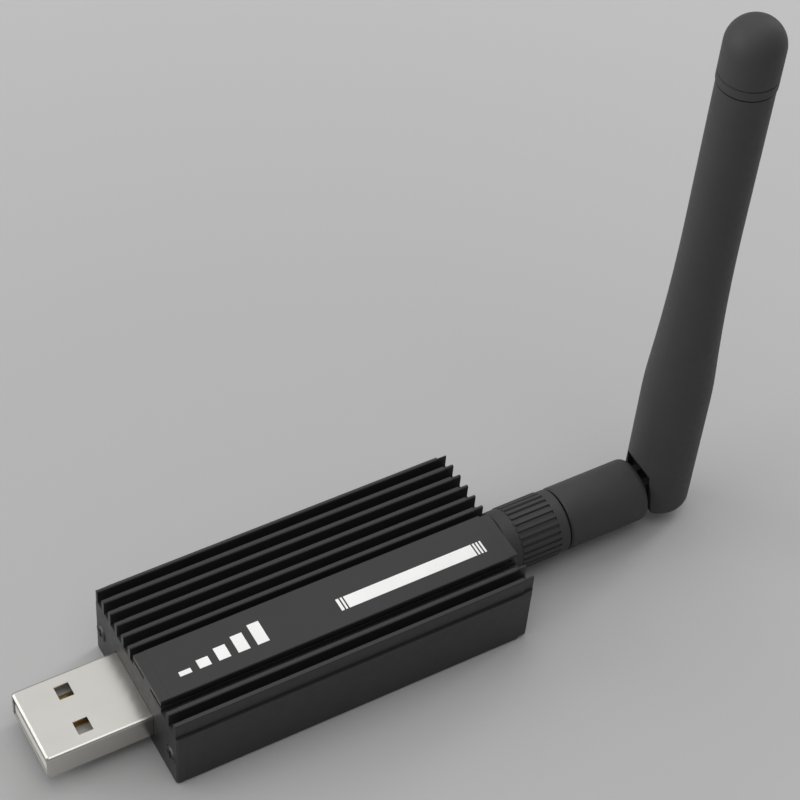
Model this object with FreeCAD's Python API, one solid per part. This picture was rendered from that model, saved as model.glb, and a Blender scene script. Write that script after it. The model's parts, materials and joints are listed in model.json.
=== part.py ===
import FreeCAD
import Part
import math
import os

# Smart home USB radio stick: a finned aluminium housing with a USB plug at one end
# and a fold-and-swivel whip antenna screwed to a coaxial jack at the other end.
# Millimetres. +X runs from the USB plug to the antenna, +Z is up, and the origin is
# the centre of the housing's flat underside.

# Housing: one extruded section closed by two comb-shaped end plates
housing_length = 54.5
housing_width = 25.5
side_wall = 1.5
floor_wall = 1.4
roof_wall = 1.9
roof_clearance = 0.425
bottom_edge_radius = 0.5
ledge_drop = 2.7
ledge_width = 0.35

# Cooling fins along the top, and the flat band between them
groove_depth = 2.3
fin_thickness = 0.75
outer_fin_thickness = 0.55
wide_side_fins = 6
narrow_side_fins = 2
wide_side_band_gap = 0.95
narrow_side_band_gap = 1.57
fin_chamfer = 0.12
band_width = 8.5
band_centre_y = -3.75
band_thickness = 0.95
band_slot_height = 0.5
band_stem_width = 1.85
band_stem_centre_y = -3.78

# End plates and their screws
plate_thickness = 1.5
usb_plate_inset = 0.02
antenna_plate_inset = 0.15
plate_edge_chamfer = 0.25
screw_wall_distance = 0.25
screw_height = 5.2
screw_shank_radius = 0.78
screw_length = 6.0
screw_head_radius = 1.35
screw_head_height = 0.8
screw_head_sink = 0.6
screw_head_chamfer = 0.22
screw_slot_width = 0.35
screw_slot_length = 1.75
screw_slot_depth = 0.4
screw_clearance = 0.05
plate_hole_clearance = 0.25
rib_reach = 2.25
rib_above_screw = 1.7
rib_below_board = 1.0

# Circuit board
board_plug_gap = 1.85
board_thickness = 1.6
board_slot_depth = 0.8
board_clearance = 0.05

# Antenna axis and coaxial connector
axis_height = 5.4
jack_barrel_radius = 3.1
jack_barrel_length = 8.9
jack_barrel_chamfer = 0.25
jack_flange_side = 6.35
jack_flange_thickness = 1.6
jack_leg_length = 4.0
jack_leg_width = 1.0
jack_leg_height = 1.9
jack_socket_radius = 2.3
jack_socket_depth = 1.95
dielectric_radius = 2.05
contact_radius = 0.635
contact_bore_depth = 2.7
pin_radius = 0.46
pin_reach = 2.0
solder_pin_radius = 0.4
solder_pin_length = 2.6
lock_washer_thickness = 0.3
lock_washer_radius = 4.3
hex_nut_thickness = 1.1
hex_nut_across_flats = 8.0
hex_nut_chamfer = 0.35
running_clearance = 0.05

# Coupling nut
nut_gap = 0.1
nut_length = 10.3
nut_core_radius = 4.0
nut_core_recess = 0.3
nut_back_wall = 1.6
nut_rim_radius = 4.7
nut_rib_radius = 4.82
nut_groove_radius = 4.5
nut_front_rim_width = 2.25
nut_back_rim_width = 1.65
nut_rim_chamfer = 0.2
nut_ribs = 28
nut_rib_top_share = 0.46
nut_rib_foot_share = 0.68

# Ferrule: the part of the antenna's own connector that the nut clamps
ferrule_flange_thickness = 1.1
ferrule_neck_radius = 2.6
ferrule_neck_length = 8.6
ferrule_bore_radius = 0.66
clip_thickness = 0.5
clip_outer_radius = 3.15
clip_groove_depth = 0.4
clip_end_distance = 0.7
clip_opening = 1.6

# Knuckle: swivels on the ferrule and carries the whip between two cheeks
knuckle_gap = 0.25
knuckle_radius = 4.73
knuckle_length = 13.25
knuckle_edge_radius = 1.0
knuckle_chamfer = 0.25
cheek_outer = 1.95
cheek_thickness = 1.1
cheek_radius = 2.5
trunnion_radius = 1.3
trunnion_length = 1.3
hinge_clearance = 0.08
cheek_clearance = 0.12

# Whip, measured up from the fold axis
pivot_from_knuckle = 4.3
whip_base_radius = 4.95
whip_base_drop = 2.9
whip_base_edge = 0.9
taper_start = 19.0
taper_bend = 24.0
taper_end = 52.0
whip_radius = 3.86
lower_ring_height = 76.5
upper_ring_height = 77.95
ring_width = 0.3
ring_depth = 0.25
cap_radius = 3.98
tip_height = 86.25
whip_bore_radius = 2.8
whip_bore_start = 7.0
cap_spigot_length = 4.0
cap_spigot_wall = 0.9
relief_top = 7.0
relief_bend_height = 5.2
relief_bend_offset = 4.0
relief_foot_offset = 3.2
relief_foot_chamfer = 0.8
relief_pocket_half_width = 2.83
relief_pocket_offset = 2.7

# Antenna wiring inside the whip
coax_radius = 0.6
coax_channel_radius = 0.9
coax_bend_radius = 4.0
coax_end_height = 33.0
choke_start = 9.0
choke_length = 23.5
choke_outer_radius = 2.4
choke_wall = 0.3
radiator_radius = 0.45
radiator_length = 26.0
spacer_thickness = 2.0

# USB plug
plug_width = 12.0
plug_height = 4.5
plug_length = 18.75
plug_reach = 15.2
plug_drop = 2.8
plug_centre_y = 0.4
plug_sheet = 0.3
plug_corner_radius = 0.4
plug_lip_length = 0.3
plug_lip_drop = 0.12
plug_window_distance = 5.3
plug_window_length = 2.1
plug_window_width = 2.2
plug_window_spacing = 6.15
plug_tab_length = 3.2
plug_tab_height = 2.6
plate_plug_clearance = 0.1
tongue_thickness = 1.85
tongue_setback = 0.25
plug_block_distance = 12.4
insulator_clearance = 0.05
contact_width = 1.0
contact_thickness = 0.15
contact_tail_length = 2.4
outer_contact_setback = 1.6
inner_contact_setback = 2.6
outer_contact_spacing = 7.0
inner_contact_spacing = 2.0

# Parts on the board: length along X, width along Y, height
radio_chip_size = (7.0, 7.0, 0.9)
bridge_chip_size = (5.0, 5.0, 0.8)
regulator_size = (3.5, 6.5, 1.6)
regulator_tab_size = (1.6, 3.0, 0.3)
regulator_lead_size = (1.6, 0.7, 0.3)
regulator_lead_pitch = 2.3
main_crystal_size = (2.5, 3.2, 0.7)
clock_crystal_size = (1.5, 3.2, 0.6)
crystal_rim = 0.15
crystal_base_height = 0.3
led_size = (0.8, 1.6, 0.6)
capacitor_size = (1.0, 0.5, 0.5)
capacitor_pitch = 1.4
filter_size = (2.0, 1.25, 0.8)
filter_pitch = 2.8
pin_mark_radius = 0.3
pin_mark_depth = 0.1
pin_mark_inset = 0.8
switch_size = (4.2, 3.2, 1.9)
switch_button_radius = 0.9
switch_button_height = 0.7
switch_button_sink = 0.9
switch_travel = 0.25

# Places on the board, from its USB edge and from its centre line or its nearer long edge
bridge_chip_from_end = 11.0
bridge_chip_y = 0.2
regulator_from_end = 6.5
regulator_from_side = 4.15
boot_switch_from_end = 5.5
reset_switch_from_end = 12.5
switch_from_side = 2.55
bridge_capacitor_from_end = 10.5
bridge_capacitor_y = 4.6
bridge_capacitors = 4

# Places on the board, from its antenna edge and from its centre line or its nearer long edge
radio_chip_from_end = 15.5
radio_chip_y = 0.0
main_crystal_from_end = 21.3
clock_crystal_from_end = 9.5
clock_crystal_y = -3.6
led_from_end = 5.5
led_from_side = 2.35
filter_from_end = 3.9
filter_y = 0.0
filter_parts = 3
radio_capacitor_from_end = 12.0
radio_capacitor_y = 5.2
radio_capacitors = 6

# How far an edge may lie from where it is looked for
edge_tolerance = 1e-4

# Places worked out from the sizes above
usb_face = -housing_length / 2
antenna_face = housing_length / 2
extrusion_start = usb_face + plate_thickness
extrusion_length = housing_length - 2 * plate_thickness
cavity_top = axis_height + jack_flange_side / 2 + roof_clearance
groove_floor_height = cavity_top + roof_wall
housing_height = groove_floor_height + groove_depth
ledge_height = housing_height - ledge_drop
cavity_half = housing_width / 2 - side_wall
screw_y = cavity_half - screw_wall_distance
board_slot_half = cavity_half - rib_reach + board_slot_depth
board_width = 2 * (board_slot_half - board_clearance)
fin_zone_half = housing_width / 2 - ledge_width
band_edge_plus = band_centre_y + band_width / 2
band_edge_minus = band_centre_y - band_width / 2
board_top = axis_height - solder_pin_radius
board_bottom = board_top - board_thickness
plug_tip = usb_face - plug_reach
plug_back = plug_tip + plug_length
plug_underside_height = board_top - plug_drop
plug_centre_z = plug_underside_height + plug_height / 2
jack_flange_front = antenna_face - plate_thickness
jack_flange_back = jack_flange_front - jack_flange_thickness
board_end = jack_flange_back
board_start = plug_back + board_plug_gap
jack_end = antenna_face + jack_barrel_length
mating_plane = jack_end - jack_socket_depth
nut_start = antenna_face + lock_washer_thickness + hex_nut_thickness + nut_gap
nut_end = nut_start + nut_length
flange_end = nut_end - nut_back_wall - running_clearance
flange_start = flange_end - ferrule_flange_thickness
ferrule_end = nut_end + ferrule_neck_length
knuckle_start = nut_end + knuckle_gap
knuckle_end = knuckle_start + knuckle_length
pivot_x = knuckle_end + pivot_from_knuckle
pivot = FreeCAD.Vector(pivot_x, 0, axis_height)
slot_half_width = cheek_outer + cheek_clearance
slot_radius = cheek_radius + 2 * hinge_clearance

X = FreeCAD.Vector(1, 0, 0)
Y = FreeCAD.Vector(0, 1, 0)
Z = FreeCAD.Vector(0, 0, 1)


def box(x0, x1, y0, y1, z0, z1):
    return Part.makeBox(x1 - x0, y1 - y0, z1 - z0, FreeCAD.Vector(x0, y0, z0))


def rod_x(radius, x0, x1, y=0.0, z=axis_height):
    """Round bar along X, on the antenna axis unless another place is given."""
    return Part.makeCylinder(radius, x1 - x0, FreeCAD.Vector(x0, y, z), X)


def tube_x(outer, inner, x0, x1, y=0.0, z=axis_height):
    return rod_x(outer, x0, x1, y, z).cut(rod_x(inner, x0, x1, y, z))


def rod_z(radius, z0, z1, x, y=0.0):
    return Part.makeCylinder(radius, z1 - z0, FreeCAD.Vector(x, y, z0), Z)


def circle_edges(shape, x, radius):
    """Round edges of the given radius in the plane across X at x."""
    found = []
    for edge in shape.Edges:
        if isinstance(edge.Curve, Part.Circle):
            same_plane = abs(edge.Curve.Center.x - x) < edge_tolerance
            if same_plane and abs(edge.Curve.Radius - radius) < edge_tolerance:
                found.append(edge)
    return found


def fused(pieces):
    """One solid from several that touch, with leftover seams removed."""
    return pieces[0].multiFuse(pieces[1:]).removeSplitter()


def section_face(points, x):
    """Flat face across X from (y, z) corner points."""
    corners = [FreeCAD.Vector(x, y, z) for y, z in points]
    return Part.Face(Part.makePolygon(corners + corners[:1]))


def tooth(outer_y, inner_y, foot, top, chamfer):
    """Corner points of one fin, from its +Y foot over the chamfered top to its -Y foot."""
    return [
        (outer_y, foot),
        (outer_y, top - chamfer),
        (outer_y - chamfer, top),
        (inner_y + chamfer, top),
        (inner_y, top - chamfer),
        (inner_y, foot),
    ]


def fin_edges():
    """(+Y edge, -Y edge) of every fin, from the +Y side to the -Y side."""
    first = fin_zone_half - outer_fin_thickness
    last = band_edge_plus + wide_side_band_gap
    pitch = (first - last) / (wide_side_fins - 1)
    wide = [(fin_zone_half, first)]
    for number in range(1, wide_side_fins):
        inner = first - number * pitch
        wide.append((inner + fin_thickness, inner))
    first = band_edge_minus - narrow_side_band_gap - fin_thickness
    pitch = (first + fin_zone_half) / (narrow_side_fins - 1)
    narrow = []
    for number in range(narrow_side_fins):
        outer = first - number * pitch
        narrow.append((outer + fin_thickness, outer))
    return wide, narrow


def comb_points(inset):
    """Section of the housing from outside. An inset narrows and lowers every tooth by that much."""
    half = housing_width / 2 - inset
    top = housing_height - inset
    wide, narrow = fin_edges()
    points = [(half, inset), (half, ledge_height)]
    for outer, inner in wide:
        points += tooth(outer - inset, inner + inset, groove_floor_height, top, fin_chamfer)
    points[2] = (points[2][0], ledge_height)
    points += band_points(inset)
    for outer, inner in narrow:
        points += tooth(outer - inset, inner + inset, groove_floor_height, top, fin_chamfer)
    points[-1] = (points[-1][0], ledge_height)
    points += [(-half, ledge_height), (-half, inset)]
    return points


def band_points(inset):
    """T-shaped band: a plate on a narrow stem, with a thin slot under each wing."""
    top = housing_height - inset
    plus = band_edge_plus - inset
    minus = band_edge_minus + inset
    under = housing_height - band_thickness + inset
    slot_floor = housing_height - band_thickness - band_slot_height
    stem_plus = band_stem_centre_y + band_stem_width / 2
    stem_minus = band_stem_centre_y - band_stem_width / 2
    return [
        (plus, groove_floor_height),
        (plus, slot_floor),
        (stem_plus, slot_floor),
        (stem_plus, under),
        (plus, under),
        (plus, top - fin_chamfer),
        (plus - fin_chamfer, top),
        (minus + fin_chamfer, top),
        (minus, top - fin_chamfer),
        (minus, under),
        (stem_minus, under),
        (stem_minus, slot_floor),
        (minus, slot_floor),
        (minus, groove_floor_height),
    ]


def bottom_edges(shape, height):
    """The two lengthwise edges at the bottom of an extruded section."""
    found = []
    for edge in shape.Edges:
        space = edge.BoundBox
        if space.ZMax < height + edge_tolerance and space.YLength < edge_tolerance:
            found.append(edge)
    return found


def comb_body(x0, length, inset):
    """Solid bar of the comb section with rounded bottom corners."""
    bar = section_face(comb_points(inset), x0).extrude(X * length)
    return bar.makeFillet(bottom_edge_radius, bottom_edges(bar, inset))


def cavity(x0, length):
    """Inner space of the extrusion, between two ribs that guide the board and take the screws."""
    x1 = x0 + length
    space = box(x0, x1, -cavity_half, cavity_half, floor_wall, cavity_top)
    rib_top = screw_height + rib_above_screw
    rib_bottom = board_bottom - rib_below_board
    for side in (1, -1):
        inner, outer = sorted((side * (cavity_half - rib_reach), side * cavity_half))
        space = space.cut(box(x0, x1, inner, outer, rib_bottom, rib_top))
    slot_bottom = board_bottom - board_clearance
    slot_top = board_top + board_clearance
    return space.fuse(box(x0, x1, -board_slot_half, board_slot_half, slot_bottom, slot_top))


def screw_places():
    return [(side * screw_y, screw_height) for side in (1, -1)]


def make_extrusion():
    bar = comb_body(extrusion_start, extrusion_length, 0.0)
    bar = bar.cut(cavity(extrusion_start, extrusion_length))
    port_radius = screw_shank_radius + screw_clearance
    for y, z in screw_places():
        bar = bar.cut(rod_x(port_radius, extrusion_start, extrusion_start + extrusion_length, y, z))
    return bar


def outer_face_edges(plate, x, inset):
    """Edges of the plate's outer face along both sides and the underside, with the corners between."""
    half = housing_width / 2 - inset - bottom_edge_radius
    found = []
    for edge in plate.Edges:
        space = edge.BoundBox
        in_face = max(abs(space.XMin - x), abs(space.XMax - x)) < edge_tolerance
        on_side = min(abs(space.YMin), abs(space.YMax)) > half - edge_tolerance and space.ZMin < screw_height
        on_underside = space.ZMax < inset + edge_tolerance
        if in_face and (on_side or on_underside):
            found.append(edge)
    return found


def plate_blank(x0, outer_face, inset):
    """End plate with its screw holes. The heads sink into the face away from the extrusion."""
    plate = comb_body(x0, plate_thickness, inset)
    plate = plate.makeChamfer(plate_edge_chamfer, outer_face_edges(plate, outer_face, inset))
    hole_radius = screw_shank_radius + plate_hole_clearance
    for y, z in screw_places():
        plate = plate.cut(rod_x(hole_radius, x0, x0 + plate_thickness, y, z))
    return plate


def counterbores(x0, x1):
    radius = screw_head_radius + screw_clearance
    return [rod_x(radius, x0, x1, y, z) for y, z in screw_places()]


def make_usb_plate():
    plate = plate_blank(usb_face, usb_face, usb_plate_inset)
    for bore in counterbores(usb_face, usb_face + screw_head_sink):
        plate = plate.cut(bore)
    window = rounded_bar(
        usb_face,
        plate_thickness,
        plug_width + 2 * plate_plug_clearance,
        plug_height + 2 * plate_plug_clearance,
        plug_corner_radius,
    )
    return plate.cut(window)


def make_antenna_plate():
    plate = plate_blank(antenna_face - plate_thickness, antenna_face, antenna_plate_inset)
    for bore in counterbores(antenna_face - screw_head_sink, antenna_face):
        plate = plate.cut(bore)
    hole = rod_x(jack_barrel_radius + plate_plug_clearance, antenna_face - plate_thickness, antenna_face)
    return plate.cut(hole)


def end_screw(face, direction, y, z):
    """Screw with a cross slot. face is the plate's outer face and direction points into the housing."""
    head_out = face + direction * (screw_head_sink - screw_head_height)
    head_in = face + direction * screw_head_sink
    tip = head_in + direction * screw_length
    head = rod_x(screw_head_radius, min(head_out, head_in), max(head_out, head_in), y, z)
    head = head.makeChamfer(screw_head_chamfer, circle_edges(head, head_out, screw_head_radius))
    shank = rod_x(screw_shank_radius, min(head_in, tip), max(head_in, tip), y, z)
    slot_end = head_out + direction * screw_slot_depth
    x0, x1 = min(head_out, slot_end), max(head_out, slot_end)
    half_width = screw_slot_width / 2
    half_length = screw_slot_length / 2
    screw = head.fuse(shank)
    screw = screw.cut(box(x0, x1, y - half_width, y + half_width, z - half_length, z + half_length))
    return screw.cut(box(x0, x1, y - half_length, y + half_length, z - half_width, z + half_width))


def make_screws(face, direction):
    return Part.makeCompound([end_screw(face, direction, y, z) for y, z in screw_places()])


def rounded_wire(x, width, height, radius):
    """Rounded rectangle across X, centred on the USB plug."""
    y0 = plug_centre_y - width / 2
    y1 = plug_centre_y + width / 2
    z0 = plug_centre_z - height / 2
    z1 = plug_centre_z + height / 2
    bulge = radius * (1 - math.sqrt(0.5))
    corners = [
        ((y1, z0 + radius), (y1, z1 - radius), (y1 - bulge, z1 - bulge), (y1 - radius, z1)),
        ((y1 - radius, z1), (y0 + radius, z1), (y0 + bulge, z1 - bulge), (y0, z1 - radius)),
        ((y0, z1 - radius), (y0, z0 + radius), (y0 + bulge, z0 + bulge), (y0 + radius, z0)),
        ((y0 + radius, z0), (y1 - radius, z0), (y1 - bulge, z0 + bulge), (y1, z0 + radius)),
    ]
    edges = []
    for start, end, middle, finish in corners:
        places = [FreeCAD.Vector(x, y, z) for y, z in (start, end, middle, finish)]
        edges.append(Part.makeLine(places[0], places[1]))
        edges.append(Part.Arc(places[1], places[2], places[3]).toShape())
    return Part.Wire(edges)


def rounded_bar(x, length, width, height, radius):
    return Part.Face(rounded_wire(x, width, height, radius)).extrude(X * length)


def lipped_bar(shrink, radius):
    """Plug outline narrowed by shrink all round, drawn in towards the mouth by the rolled lip."""
    width = plug_width - 2 * shrink
    height = plug_height - 2 * shrink
    drop = 2 * plug_lip_drop
    wires = [
        rounded_wire(plug_tip, width - drop, height - drop, radius),
        rounded_wire(plug_tip + plug_lip_length, width, height, radius),
        rounded_wire(plug_back, width, height, radius),
    ]
    return Part.makeLoft(wires, True, True)


def plug_windows():
    """The two square retention holes through the plug's top and underside."""
    x0 = plug_tip + plug_window_distance
    half = plug_window_width / 2
    windows = []
    for side in (1, -1):
        y = plug_centre_y + side * plug_window_spacing / 2
        windows.append(
            box(
                x0,
                x0 + plug_window_length,
                y - half,
                y + half,
                plug_underside_height - plug_sheet,
                plug_underside_height + plug_height + plug_sheet,
            )
        )
    return windows


def plug_tabs():
    """Side tabs of the shell that pass through slots in the board."""
    tabs = []
    z0 = plug_centre_z - plug_tab_height / 2
    for side in (1, -1):
        outer = plug_centre_y + side * plug_width / 2
        inner = outer - side * plug_sheet
        y0, y1 = min(outer, inner), max(outer, inner)
        x1 = plug_back + plug_tab_length
        tabs.append(box(plug_back - plug_sheet, x1, y0, y1, z0, z0 + plug_tab_height))
    return tabs


def make_usb_shell():
    inner_radius = plug_corner_radius - plug_sheet
    shell = lipped_bar(0.0, plug_corner_radius).cut(lipped_bar(plug_sheet, inner_radius))
    for window in plug_windows():
        shell = shell.cut(window)
    return fused([shell] + plug_tabs())


def contact_lines():
    """(y, distance from the plug's mouth) of the four contacts."""
    lines = []
    for spacing, setback in (
        (outer_contact_spacing, outer_contact_setback),
        (inner_contact_spacing, inner_contact_setback),
    ):
        for side in (1, -1):
            lines.append((plug_centre_y + side * spacing / 2, setback))
    return sorted(lines)


def tongue_top():
    return plug_underside_height + plug_sheet + insulator_clearance + tongue_thickness


def usb_contact(y, setback):
    """Bent strip: flat on the tongue, up behind the plug and flat again on the board."""
    low = tongue_top()
    rise = plug_back + insulator_clearance
    end = board_start + contact_tail_length
    t = contact_thickness
    points = [
        (plug_tip + setback, low),
        (rise + t, low),
        (rise + t, board_top),
        (end, board_top),
        (end, board_top + t),
        (rise, board_top + t),
        (rise, low + t),
        (plug_tip + setback, low + t),
    ]
    corners = [FreeCAD.Vector(x, y - contact_width / 2, z) for x, z in points]
    return Part.Face(Part.makePolygon(corners + corners[:1])).extrude(Y * contact_width)


def make_usb_contacts():
    return Part.makeCompound([usb_contact(y, setback) for y, setback in contact_lines()])


def make_usb_insulator():
    """Tongue along the plug's lower half, and the block that closes the back of the shell."""
    gap = plug_sheet + insulator_clearance
    y0 = plug_centre_y - plug_width / 2 + gap
    y1 = plug_centre_y + plug_width / 2 - gap
    z0 = plug_underside_height + gap
    z1 = plug_underside_height + plug_height - gap
    tongue = box(plug_tip + tongue_setback, plug_back, y0, y1, z0, tongue_top())
    block = box(plug_tip + plug_block_distance, plug_back, y0, y1, z0, z1)
    inside = rounded_bar(
        plug_tip, plug_length, plug_width - 2 * gap, plug_height - 2 * gap, plug_corner_radius - plug_sheet
    )
    return fused([tongue, block]).common(inside).cut(make_usb_contacts())


def make_circuit_board():
    """Board with slots for the plug's tabs."""
    board = box(board_start, board_end, -board_width / 2, board_width / 2, board_bottom, board_top)
    for tab in plug_tabs():
        space = tab.BoundBox
        gap = insulator_clearance
        board = board.cut(
            box(space.XMin, space.XMax + gap, space.YMin - gap, space.YMax + gap, space.ZMin, space.ZMax)
        )
    return board


def from_side(distance):
    """Distance from the board's centre line of a place near its long edge."""
    return board_width / 2 - distance


def on_board(size, x, y):
    """Block standing on the board, centred at (x, y)."""
    length, width, height = size
    return box(x - length / 2, x + length / 2, y - width / 2, y + width / 2, board_top, board_top + height)


def make_chip(size, x, y):
    """Flat chip package with the shallow round mark of its first pin."""
    length, width, height = size
    mark_x = x - length / 2 + pin_mark_inset
    mark_y = y - width / 2 + pin_mark_inset
    top = board_top + height
    mark = rod_z(pin_mark_radius, top - pin_mark_depth, top, mark_x, mark_y)
    return on_board(size, x, y).cut(mark)


def make_regulator():
    """Voltage regulator: moulded body, one broad tab and three leads."""
    x = board_start + regulator_from_end
    y = from_side(regulator_from_side)
    half = regulator_size[0] / 2
    tab = on_board(regulator_tab_size, x + half + regulator_tab_size[0] / 2, y)
    lead_x = x - half - regulator_lead_size[0] / 2
    leads = [on_board(regulator_lead_size, lead_x, y + step * regulator_lead_pitch) for step in (-1, 0, 1)]
    return fused([on_board(regulator_size, x, y), tab] + leads)


def make_crystal(size, x, y):
    """Metal-can crystal on a ceramic base that stands out a little all round."""
    length, width, height = size
    base = on_board((length, width, crystal_base_height), x, y)
    lid = on_board((length - 2 * crystal_rim, width - 2 * crystal_rim, height), x, y)
    return fused([base, lid])


def row_on_board(size, x, y, pitch, count):
    return [on_board(size, x + pitch * step, y) for step in range(count)]


def make_leds():
    x = board_end - led_from_end
    return Part.makeCompound([on_board(led_size, x, side * from_side(led_from_side)) for side in (1, -1)])


def make_capacitors():
    """Rows of small ceramic capacitors beside the two chips."""
    x = board_end - radio_capacitor_from_end
    parts = []
    for side in (1, -1):
        parts += row_on_board(capacitor_size, x, side * radio_capacitor_y, -capacitor_pitch, radio_capacitors)
    x = board_start + bridge_capacitor_from_end
    parts += row_on_board(capacitor_size, x, bridge_capacitor_y, capacitor_pitch, bridge_capacitors)
    return Part.makeCompound(parts)


def make_filter_parts():
    """Small parts of the aerial's matching filter, in line with the coaxial jack."""
    x = board_end - filter_from_end
    return Part.makeCompound(row_on_board(filter_size, x, filter_y, -filter_pitch, filter_parts))


def make_switch_case(x):
    """Push-switch case with a round well for its button."""
    y = -from_side(switch_from_side)
    case = on_board(switch_size, x, y)
    top = board_top + switch_size[2]
    well_floor = top - switch_button_sink - switch_travel - running_clearance
    well = rod_z(switch_button_radius + running_clearance, well_floor, top, x, y)
    return case.cut(well)


def make_switch_button(x):
    y = -from_side(switch_from_side)
    top = board_top + switch_size[2]
    return rod_z(switch_button_radius, top - switch_button_sink, top + switch_button_height, x, y)


def make_jack_body():
    """Coaxial jack for a board's edge: square flange, four legs and a round barrel."""
    half = jack_flange_side / 2
    parts = [box(jack_flange_back, jack_flange_front, -half, half, axis_height - half, axis_height + half)]
    leg_start = jack_flange_back - jack_leg_length
    for side in (1, -1):
        y0, y1 = sorted((side * half, side * (half - jack_leg_width)))
        parts.append(box(leg_start, jack_flange_back, y0, y1, board_top, board_top + jack_leg_height))
        parts.append(box(leg_start, jack_flange_back, y0, y1, axis_height - half, board_bottom))
    parts.append(rod_x(jack_barrel_radius, jack_flange_front, jack_end))
    jack = fused(parts)
    jack = jack.makeChamfer(jack_barrel_chamfer, circle_edges(jack, jack_end, jack_barrel_radius))
    jack = jack.cut(rod_x(dielectric_radius, jack_flange_back, jack_end))
    return jack.cut(rod_x(jack_socket_radius, mating_plane, jack_end))


def make_jack_dielectric():
    return tube_x(dielectric_radius, contact_radius, jack_flange_back, mating_plane)


def make_jack_contact():
    """Centre contact: split-free socket in front, thin solder pin on the board behind."""
    body = rod_x(contact_radius, jack_flange_back, mating_plane)
    tail = rod_x(solder_pin_radius, jack_flange_back - solder_pin_length, jack_flange_back)
    contact = body.fuse(tail)
    bore_radius = pin_radius + running_clearance
    return contact.cut(rod_x(bore_radius, mating_plane - contact_bore_depth, mating_plane))


def make_lock_washer():
    inner = jack_barrel_radius + running_clearance
    return tube_x(lock_washer_radius, inner, antenna_face, antenna_face + lock_washer_thickness)


def hexagon_bar(across_flats, x0, length):
    radius = across_flats / 2 / math.cos(math.pi / 6)
    points = []
    for corner in range(6):
        angle = math.pi / 3 * corner
        points.append((radius * math.cos(angle), axis_height + radius * math.sin(angle)))
    return section_face(points, x0).extrude(X * length)


def make_hex_nut():
    """Thin hexagon nut whose corners are turned off on the outer face."""
    x0 = antenna_face + lock_washer_thickness
    x1 = x0 + hex_nut_thickness
    nut = hexagon_bar(hex_nut_across_flats, x0, hex_nut_thickness)
    turned_radius = hex_nut_across_flats / 2 + hex_nut_thickness
    turned = rod_x(turned_radius, x0, x1)
    depth = turned_radius - hex_nut_across_flats / 2
    turned = turned.makeChamfer(hex_nut_chamfer, depth, circle_edges(turned, x1, turned_radius))
    nut = nut.common(turned)
    return nut.cut(rod_x(jack_barrel_radius + running_clearance, x0, x1))


def make_nut_core():
    """Metal coupling nut: a cup that turns round the ferrule's flange and screws on the jack."""
    core = rod_x(nut_core_radius, nut_start + nut_core_recess, nut_end)
    bore = rod_x(jack_barrel_radius + running_clearance, nut_start + nut_core_recess, nut_end - nut_back_wall)
    back_hole = rod_x(ferrule_neck_radius + running_clearance, nut_end - nut_back_wall, nut_end)
    return core.cut(bore).cut(back_hole)


def ribbed_points():
    """Gear-like section of the grip. Each rib fills a share of its pitch, narrower at its top."""
    pitch = 2 * math.pi / nut_ribs
    top = pitch * nut_rib_top_share / 2
    foot = pitch * nut_rib_foot_share / 2
    points = []
    for rib in range(nut_ribs):
        up = ((-foot, nut_groove_radius), (-top, nut_rib_radius))
        down = ((top, nut_rib_radius), (foot, nut_groove_radius))
        for angle, radius in up + down:
            turn = rib * pitch + angle
            points.append((radius * math.cos(turn), axis_height + radius * math.sin(turn)))
    return points


def make_nut_grip():
    """Moulded grip on the nut: lengthwise ribs between two plain rims."""
    rib_start = nut_start + nut_front_rim_width
    rib_length = nut_length - nut_front_rim_width - nut_back_rim_width
    ribs = section_face(ribbed_points(), rib_start).extrude(X * rib_length)
    front = rod_x(nut_rim_radius, nut_start, rib_start)
    back = rod_x(nut_rim_radius, rib_start + rib_length, nut_end)
    rims = [
        front.makeChamfer(nut_rim_chamfer, circle_edges(front, nut_start, nut_rim_radius)),
        back.makeChamfer(nut_rim_chamfer, circle_edges(back, nut_end, nut_rim_radius)),
    ]
    grip = fused([rims[0], ribs, rims[1]])
    return grip.cut(rod_x(nut_core_radius, nut_start, nut_end))


def make_ferrule():
    """Body of the antenna's connector: mating sleeve, flange, and the neck that the knuckle turns on."""
    sleeve = rod_x(jack_socket_radius - running_clearance, mating_plane, flange_start)
    flange = rod_x(jack_barrel_radius - running_clearance, flange_start, flange_end)
    neck = rod_x(ferrule_neck_radius, flange_end, ferrule_end)
    ferrule = fused([sleeve, flange, neck])
    ferrule = ferrule.cut(rod_x(dielectric_radius, mating_plane, flange_end))
    ferrule = ferrule.cut(rod_x(ferrule_bore_radius, flange_end, ferrule_end))
    groove_end = ferrule_end - clip_end_distance
    groove = tube_x(
        ferrule_neck_radius, ferrule_neck_radius - clip_groove_depth, groove_end - clip_thickness, groove_end
    )
    return ferrule.cut(groove)


def make_plug_dielectric():
    return tube_x(dielectric_radius, pin_radius, mating_plane, flange_end)


def make_plug_pin():
    return rod_x(pin_radius, mating_plane - pin_reach, flange_end)


def make_swivel_clip():
    """Open ring that keeps the knuckle on the ferrule's neck."""
    end = ferrule_end - clip_end_distance
    start = end - clip_thickness
    ring = tube_x(clip_outer_radius, ferrule_neck_radius - clip_groove_depth, start, end)
    half = clip_opening / 2
    opening = box(start, end, -half, half, axis_height, axis_height + clip_outer_radius)
    return ring.cut(opening)


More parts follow.
